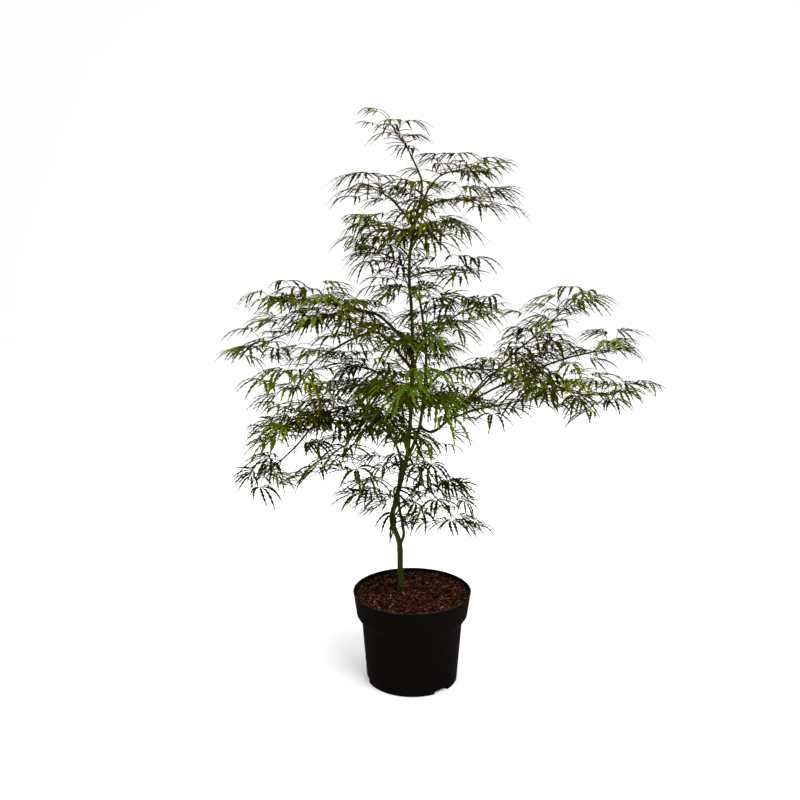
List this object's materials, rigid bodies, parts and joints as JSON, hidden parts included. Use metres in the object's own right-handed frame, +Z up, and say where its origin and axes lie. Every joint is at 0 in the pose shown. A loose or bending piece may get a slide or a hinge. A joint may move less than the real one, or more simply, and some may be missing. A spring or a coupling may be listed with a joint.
{
  "type": "potted japanese maple",
  "caption": "Young laceleaf Japanese maple in a round nursery pot: a crooked, forked trunk, thin arching boughs and flat tiers of drooping, finely cut green leaves.",
  "frame": {"origin": "middle of the flat underside of the pot", "axes": "+Z up, +X to the right seen from the front, +Y to the back"},
  "size_m": [0.6783, 0.5279, 0.8887],
  "materials": {
    "pot": "matte black moulded plastic with a faintly worn lip",
    "soil": "loose reddish brown bark and peat mulch",
    "bark": "smooth young olive green and brown bark with fine streaks",
    "foliage": "satin green leaves, finely cut, on thin red-brown twigs"
  },
  "bodies": {
    "root": {"pot": "pot", "soil": "soil", "trunk": "bark", "stem_left": "bark", "stem_right": "bark", "bough_upper_right": "bark", "bough_upper_right_low": "bark", "bough_upper_left": "bark", "bough_left_top": "bark", "bough_left_far": "bark", "bough_left_arch": "bark", "bough_left_low_far": "bark", "bough_left_hang": "bark", "bough_left_under": "bark", "bough_front": "bark", "bough_back": "bark", "bough_back_left": "bark", "bough_back_right": "bark", "bough_right_low": "bark", "bough_right_outer": "bark", "bough_right_hang": "bark", "bough_right_mid": "bark", "bough_right_front": "bark", "foliage_tip": "foliage", "foliage_upper_right": "foliage", "foliage_upper_right_low": "foliage", "foliage_upper_left": "foliage", "foliage_upper_left_low": "foliage", "foliage_upper_front": "foliage", "foliage_upper_back": "foliage", "foliage_mid_right": "foliage", "foliage_mid_left": "foliage", "foliage_mid_back": "foliage", "foliage_left_top": "foliage", "foliage_left_inner": "foliage", "foliage_left_far": "foliage", "foliage_left_arch": "foliage", "foliage_left_mid": "foliage", "foliage_left_low_far": "foliage", "foliage_left_low": "foliage", "foliage_left_hang": "foliage", "foliage_left_under": "foliage", "foliage_front": "foliage", "foliage_front_low": "foliage", "foliage_right_inner": "foliage", "foliage_right_top": "foliage", "foliage_right_tip": "foliage", "foliage_right_hang": "foliage", "foliage_right_mid": "foliage", "foliage_right_front": "foliage", "foliage_right_low": "foliage", "foliage_center": "foliage", "foliage_back": "foliage", "foliage_back_left": "foliage", "foliage_back_right": "foliage", "foliage_bottom_left": "foliage", "foliage_bottom_right": "foliage", "foliage_bottom_back": "foliage"}
  },
  "joints": []
}
